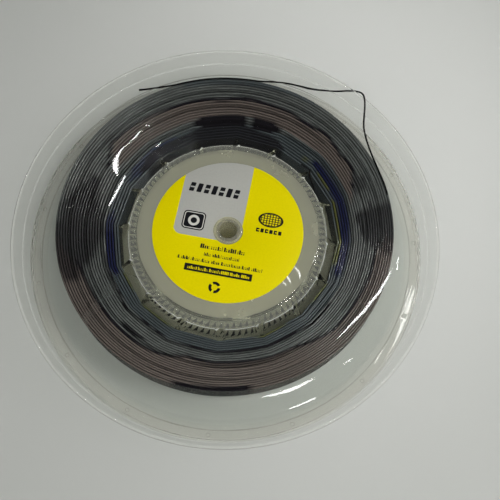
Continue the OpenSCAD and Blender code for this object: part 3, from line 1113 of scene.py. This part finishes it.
def windingPath():
    # The whole wound length: its points, and the layer number and the angle at each
    s = string
    totalTurns = s["layers"] * s["turns"] - 1
    number = np.arange(totalTurns + 1)
    layer = number // s["turns"]
    place = number % s["turns"]
    place = np.where(layer % 2 == 0, s["turns"] - 1 - place, place)
    # Each turn crosses over to the next at an angle that drifts from turn to turn
    drift = sum(size * np.sin(rate * number + phase) for size, rate, phase in s["drift"])
    drift *= np.clip((totalTurns - number) / s["driftFade"], 0, 1)
    crossEnd = s["endDegrees"] + 360.0 * number + drift
    crossEnd[0] = -math.inf  # the first turn has none before it
    first = s["startDegrees"]
    last = s["endDegrees"] + 360.0 * totalTurns
    degrees = np.append(np.arange(first, last, 360.0 / s["stepsPerTurn"]), last)
    at = np.clip(np.searchsorted(crossEnd, degrees, side="right") - 1, 0, totalTurns)
    following = np.clip(at + 1, 0, totalTurns)
    share = np.clip((degrees - (crossEnd[following] - s["crossDegrees"])) / s["crossDegrees"], 0, 1)
    share = np.where(following == at, 0, share * share * (3 - 2 * share))

    def between(values):
        return values[at] + (values[following] - values[at]) * share

    pitch = (stringHigh - stringLow) / (s["turns"] - 1)
    z = stringLow + pitch * between(place)
    k = between(layer)
    # Near the hub the string runs straight from rib to rib
    phi = (degrees - drum["ribDegrees"]) % pocketDegrees - pocketDegrees / 2
    chord = s["firstR"] * math.cos(math.radians(pocketDegrees / 2)) / np.cos(np.radians(phi))
    a = np.radians(degrees)
    rng = np.random.default_rng(s["seed"])
    offset = rng.uniform(-1, 1, totalTurns + 2)
    wave = np.zeros_like(degrees)
    for m in (2, 3, 5):
        amp, phase = rng.uniform(0.3, 1, totalTurns + 2), rng.uniform(0, fullTurn, totalTurns + 2)
        here, there = (amp[turn] * np.sin(m * a + phase[turn]) for turn in (at, following))
        wave += (here * (1 - share) + there * share) / m
    wander = s["wander"] * (0.6 * between(offset) + wave)
    wander *= np.clip(np.minimum(degrees - first, last - degrees) / s["wanderFade"], 0, 1)
    r = s["firstR"] + s["layerPitch"] * k + np.exp(-k / s["waveFade"]) * (chord - s["firstR"]) + wander
    slackX, slackY = (slack * k / (s["layers"] - 1) for slack in s["slack"])
    points = np.stack([slackX + r * np.cos(a), slackY + r * np.sin(a), z], -1)
    return points, k, (degrees + 180) % 360 - 180


def layersAlong(outline, degrees):
    # An outline's layer numbers at each angle, and whether the angle lies between its ends
    table = np.array(sorted(outline), float)
    within = (degrees >= table[0, 0]) & (degrees <= table[-1, 0])
    return [np.interp(degrees, table[:, 0], layers) for layers in table[:, 1:].T], within


# Each tone's share at each point of the winding: painted reflections, and in the dark tone also the seams'
# painted shadow
def toneOf(degrees, k):
    tones = {}
    for name, parts in paintedReflectionZones.items():
        tones[name] = np.zeros_like(k)
        for edge, share, outline in parts:
            (low, high), within = layersAlong(outline, degrees)
            inside = np.clip((k - low) / edge + 0.5, 0, 1) * np.clip((high - k) / edge + 0.5, 0, 1)
            inside *= within & (high - low > 0.05)
            tones[name] = np.maximum(tones[name], inside * share)
    # The seams' painted shadow is laid into the dark tone
    for half, outline in paintedShadowSeams:
        (line,), within = layersAlong(outline, degrees)
        tones["dark"] = np.maximum(tones["dark"], np.clip(1.4 - np.abs(k - line) / half, 0, 1) * within)
    return tones


def runAlong(line):
    return np.concatenate([[0], np.cumsum(np.linalg.norm(np.diff(line, axis=0), axis=1))])


def ringsRound(line, side, up, sides):
    t = np.arange(sides) * fullTurn / sides
    across = side[:, None] * np.cos(t)[None, :, None] + up[:, None] * np.sin(t)[None, :, None]
    return line[:, None] + string["d"] / 2 * across


def makeTube(name, line, run, sides, material, capped=True):
    # A length of string. In its UVs, u is the length run and v goes once round.
    along = unit(np.gradient(line, axis=0))
    side = unit(np.cross(along, (0.0, 0.0, 1.0)))
    mesh, quads = gridMesh(name, ringsRound(line, side, np.cross(side, along), sides), True, False)
    place = quads % sides
    wrapped = (place == 0) & (np.array([0, 1, 1, 0])[None, :] == 1)
    uv = np.stack([run[quads // sides], np.where(wrapped, sides, place) / sides], -1)
    mesh.uv_layers.new(name="run").data.foreach_set("uv", uv.astype(np.float32).ravel())
    if capped:
        faceOutwards(mesh, sides)
        mesh.polygons.foreach_set("use_smooth", np.ones(len(mesh.polygons), bool))
        mesh.set_sharp_from_angle(angle=math.radians(80))  # only the rims of its ends
    mesh.materials.append(material)
    return addObject(name, mesh)


def makeWound(line, layer, run, tones):
    # The winding is one string. It is cut into pieces of a few layers each for their size in faces.
    s = string
    perPiece = s["layers"] // s["pieces"]
    for piece in range(s["pieces"]):
        low, high = piece * perPiece, (piece + 1) * perPiece
        top = high + 1e-9 if high < s["layers"] else math.inf
        inside = np.nonzero((layer >= low - 1e-9) & (layer <= top))[0]
        part = slice(inside[0], inside[-1] + 1)
        name = "stringLayers_%02d_%02d" % (low + 1, high)
        obj = makeTube(name, line[part], run[part] % s["twistRepeat"], s["sides"], woundString, False)
        # Each point carries its shares of the painted reflection and shadow tones
        for tone in toneOrder:
            shares = obj.data.attributes.new(tone, "FLOAT", "POINT")
            shares.data.foreach_set("value", np.repeat(tones[tone][part], s["sides"]).astype(np.float32))
        finishPiece(obj, "string_pack")


wound, woundLayer, woundDegrees = windingPath()
woundRun = runAlong(wound)
print("wound length, m:", round(woundRun[-1] * mm, 2))
makeWound(wound, woundLayer, woundRun, toneOf(woundDegrees, woundLayer))

tail = {
    "route": [
        [103.9, 26.5, 24.2], [102.4, 33.8, 24.2], [100.3, 41, 24.2], [98.1, 48, 24.2],
        [96, 54.6, 24.2], [94.4, 61.4, 23.6], [93.4, 67.2, 22.5], [92.9, 71.4, 21.8],
        [92.5, 74.6, 21.8], [92.1, 77.2, 22.8], [91.8, 79.2, 24.7], [91.7, 81.1, 26.9],
        [91.8, 84, 29.4], [92, 87.8, 31.4], [92.2, 92, 32.2], [92, 95.8, 32],
        [91.2, 98.9, 30.9], [89.6, 102, 28.2], [86.6, 105.4, 24], [82.6, 107.8, 20.4],
        [78.4, 108.8, 18.4], [73.6, 109, 18], [68.4, 108.9, 18.7], [62, 108.5, 20.3],
        [55.6, 108.8, 21.8], [49, 110, 22.9], [41.6, 111.3, 23.7], [33, 112, 24.1],
        [21.6, 112.5, 24.2], [10.4, 114, 24.2], [-1, 114.6, 24.2], [-12.4, 114, 24.2],
        [-23.6, 112.2, 24.2], [-34.4, 109.4, 24.2], [-42.6, 107.8, 24.1], [-51, 106.9, 23.4],
        [-59.6, 106.4, 22.4],
    ],
    "sides": 16,
}


def makeTail():
    line = smoothLine(tail["route"], 6)
    run = runAlong(line)
    obj = makeTube("stringTail", line, run, tail["sides"], freeString)
    finishPiece(obj, "string_tail")


makeTail()

# The hidden start: (outwards, round, share of the climb) from the drum's wall
start = {
    "degrees": 28.55,
    "drumR": 62.5,
    "wallR": 59.9,
    "knotR": 55.8,
    "knotD": 3.4,
    "knotFlatness": 0.8,
    "sides": 12,
    "lowZ": (heights["backWeb"] + heights["frontWeb"]) / 2,
    "route": [[-0.1, 0, 0], [1.1, 0.3, 0.02], [2.2, 1.2, 0.11], [3, 2.6, 0.27], [3.4, 4.2, 0.46],
              [3.5, 6, 0.64], [3.5, 7.8, 0.8], [3.6, 9.5, 0.91], [4.1, 10.7, 0.97], [4.9, 11.6, 1]],
}


def turnedToStart(points):
    a = math.radians(start["degrees"])
    x, y, z = points.T
    return np.stack([x * math.cos(a) - y * math.sin(a), x * math.sin(a) + y * math.cos(a), z], -1)


def makeStart():
    s = start
    climb = stringHigh - s["lowZ"]
    points = [[s["knotR"], 0, s["lowZ"]], [s["wallR"], 0, s["lowZ"]]]
    points += [[s["drumR"] + out, side, s["lowZ"] + rise * climb] for out, side, rise in s["route"]]
    line = np.concatenate([turnedToStart(smoothLine(points, 4)), wound[:3]])
    obj = makeTube("stringStart", line, runAlong(line), s["sides"], freeString)
    finishPiece(obj, "string_start")


def makeKnot():
    # The stopper knot: the string's own thickness wound in a small pretzel
    s = start
    t = np.linspace(0, fullTurn, 97)[:-1]
    reach = (s["knotD"] - string["d"]) / 2
    x = reach * s["knotFlatness"] * 0.72 * (np.sin(t) + 0.55 * np.sin(2 * t)) / 1.3
    y = reach * (np.cos(t) - 0.75 * np.cos(2 * t)) / 1.45
    z = reach * s["knotFlatness"] * np.sin(3 * t)
    knot = turnedToStart(np.stack([s["knotR"] + x, y, s["lowZ"] + z], -1))
    along = unit(np.roll(knot, -1, 0) - np.roll(knot, 1, 0))
    out = knot - np.mean(knot, 0)
    out = unit(out - along * np.sum(out * along, 1, keepdims=True))
    rings = ringsRound(knot, out, np.cross(along, out), s["sides"])
    mesh, _ = gridMesh("stringKnot", rings, True, True)
    mesh.uv_layers.new(name="run")
    mesh.materials.append(freeString)
    finishPiece(addObject("stringKnot", mesh), "string_start")


makeStart()
makeKnot()

say("stage")
room = {
    "walls": (0.34, 0.35, 0.33),
    "ceiling": (0.05, 0.05, 0.05),
    "lamps": {
        "window": {"azimuth": -8.0, "elevation": 48.0, "distance": 1.5, "size": (0.6, 0.6), "power": 8.5},
        "glint": {"azimuth": -8.0, "elevation": 48.0, "distance": 1.5, "size": (1.3, 0.3), "power": 65.0},
        "fill": {"azimuth": -90.0, "elevation": 60.0, "distance": 1.8, "size": (1.4, 1.0), "power": 16.0},
    },
    "glow": 36.0,
    "stripHeight": 2030,
    "stripCore": 0.35,  # the share of a strip's width that is fully bright
    # Thin bright strips overhead, mirrored in the webs: (x, y, width) along each
    "strips": [
        [(-409, 910, 4), (-398, 940, 10), (-376, 1000, 11), (-365, 1030, 5)],
        [(-391, 1029, 4), (-396, 1053, 16), (-394, 1075, 20), (-388, 1097, 15), (-377, 1120, 6),
         (-359, 1141, 3), (-338, 1165, 6), (-324, 1184, 9), (-308, 1206, 2)],
        [(-298, 1228, 2), (-290, 1224, 7), (-280, 1228, 3)],
        [(-262, 1139, 2), (-252, 1147, 5), (-242, 1155, 3)],
        [(359, 422, 2), (407, 467, 9), (455, 512, 12), (483, 547, 12), (511, 581, 11), (535, 622, 9),
         (559, 663, 2)],
        [(370, 349, 2), (384, 358, 6), (398, 367, 3)],
        [(575, 655, 2), (583, 683, 5), (591, 711, 2)],
        [(217.5, 673, 3), (231, 668, 7), (242, 655, 9), (246, 640, 7), (242, 624.5, 3)],
        [(195, 643, 3), (206, 629, 9), (213, 611, 4)],
        [(178, 624, 3), (189, 615, 8), (196, 604, 4)],
        [(104, 243, 2), (146, 252, 5), (195, 267, 8), (237, 284, 5), (277, 303, 2)],
        [(184, 203, 2), (215, 213, 6), (246, 225, 6), (276, 239, 2)],
    ],
    # The same for the band of the back flange
    "lowStrips": [
        [(637, 630, 2), (622, 575, 18), (602, 522, 22), (577, 470.5, 18), (548, 421, 11), (515, 375, 7),
         (486, 340, 2)],
        [(618, 610, 2), (590, 540, 4), (560, 480, 4), (520, 410, 4), (480, 350, 2)],
    ],
}
floor = {
    "size": 6.0,
    "bright": (0.72, 0.73, 0.70),
    "dim": (0.455, 0.465, 0.44),
    "across": (-0.17, 0.10),
    "middle": (0.03, 0.10),
    "near": 0.10,
    "far": 0.30,
    "roughness": 0.7,
}


def makeFloor():
    # Paper painted lighter to the right and dimmer towards the corners: a painted pool of the light from the
    # right, and painted shade at the corners
    f = floor
    half = f["size"] / 2
    mesh = bpy.data.meshes.new("floor")
    corners = [(-half, -half, 0), (half, -half, 0), (half, half, 0), (-half, half, 0)]
    mesh.from_pydata(corners, [], [(0, 1, 2, 3)])
    addStage("floor", mesh)
    material, tree, shader = newMaterial("floorPaper")
    x, y, _ = splitPoint(objectPoint(tree))
    across = x.ramp(*f["across"]).ramp(0.0, 1.0, 0.35, 1.0, "LINEAR")
    away = lengthOf(x - f["middle"][0], y - f["middle"][1]).ramp(f["near"], f["far"], 1.0, 0.36)
    fillInputs(shader, {
        "Base Color": addMix(tree, across * away, f["dim"], f["bright"]),
        "Roughness": f["roughness"],
        "Specular IOR Level": 0.0,
    })
    mesh.materials.append(material)


def makeWorld():
    world = bpy.data.worlds.new("room")
    bpy.context.scene.world = world
    world.use_nodes = True
    tree = world.node_tree
    up = splitPoint(addNode(tree, "TexCoord", {}, "Generated"))[2]
    colour = addMix(tree, up.ramp(0.45, 0.78), room["walls"], room["ceiling"])
    fillInputs(tree.nodes["Background"], {"Color": colour})


def makeLamps():
    for name, lamp in room["lamps"].items():
        az, el = math.radians(lamp["azimuth"]), math.radians(lamp["elevation"])
        toLamp = Vector((math.cos(az) * math.cos(el), math.sin(az) * math.cos(el), math.sin(el)))
        place = toLamp * lamp["distance"]
        data = bpy.data.lights.new(name, "AREA")
        data.shape = "RECTANGLE"
        data.size, data.size_y = lamp["size"]
        data.energy = lamp["power"]
        obj = addObject(name, data, None)
        facing = (place - Vector((0, 0, 0.02))).to_track_quat("Z", "Y").to_matrix().to_4x4()
        obj.matrix_world = Matrix.Translation(place) @ facing
        # One lamp makes the glints and the others the plain light
        obj.visible_glossy = name == "glint"
        obj.visible_diffuse = name != "glint"
        obj.visible_transmission = name == "glint"


def makeStrips(name, strips):
    height = room["stripHeight"] * mm
    core = room["stripCore"]
    verts, faces, light = [], [], []
    for strip in strips:
        points = smoothLine(strip, 6) * mm
        along = unit(np.gradient(points[:, :2], axis=0))
        side = np.stack([-along[:, 1], along[:, 0]], -1) * points[:, 2:3] / 2
        at = len(verts)
        for p, d in zip(points, side):
            verts += [(p[0] + e * d[0], p[1] + e * d[1], height) for e in (1.0, core, -core, -1.0)]
            light += [0.0, 1.0, 1.0, 0.0]
        for row in range(at, len(verts) - 4, 4):
            faces += [(row + e, row + e + 1, row + e + 5, row + e + 4) for e in range(3)]
    mesh = bpy.data.meshes.new(name)
    mesh.from_pydata(verts, [], faces)
    mesh.attributes.new("fade", "FLOAT", "POINT").data.foreach_set("value", light)
    material, tree, shader = newMaterial(name + "Glow")
    fillInputs(shader, {
        "Base Color": (0, 0, 0),
        "Emission Color": (1, 1, 1),
        "Emission Strength": addAttribute(tree, "fade") * room["glow"],
    })
    mesh.materials.append(material)
    return addStage(name, mesh)


makeStrips("lampStrips", room["strips"]).visible_transmission = False
makeStrips("lowLampStrips", room["lowStrips"]).visible_glossy = False
makeFloor()
makeWorld()
makeLamps()
bpy.context.scene.view_settings.view_transform = "Standard"

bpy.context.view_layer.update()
say("done")
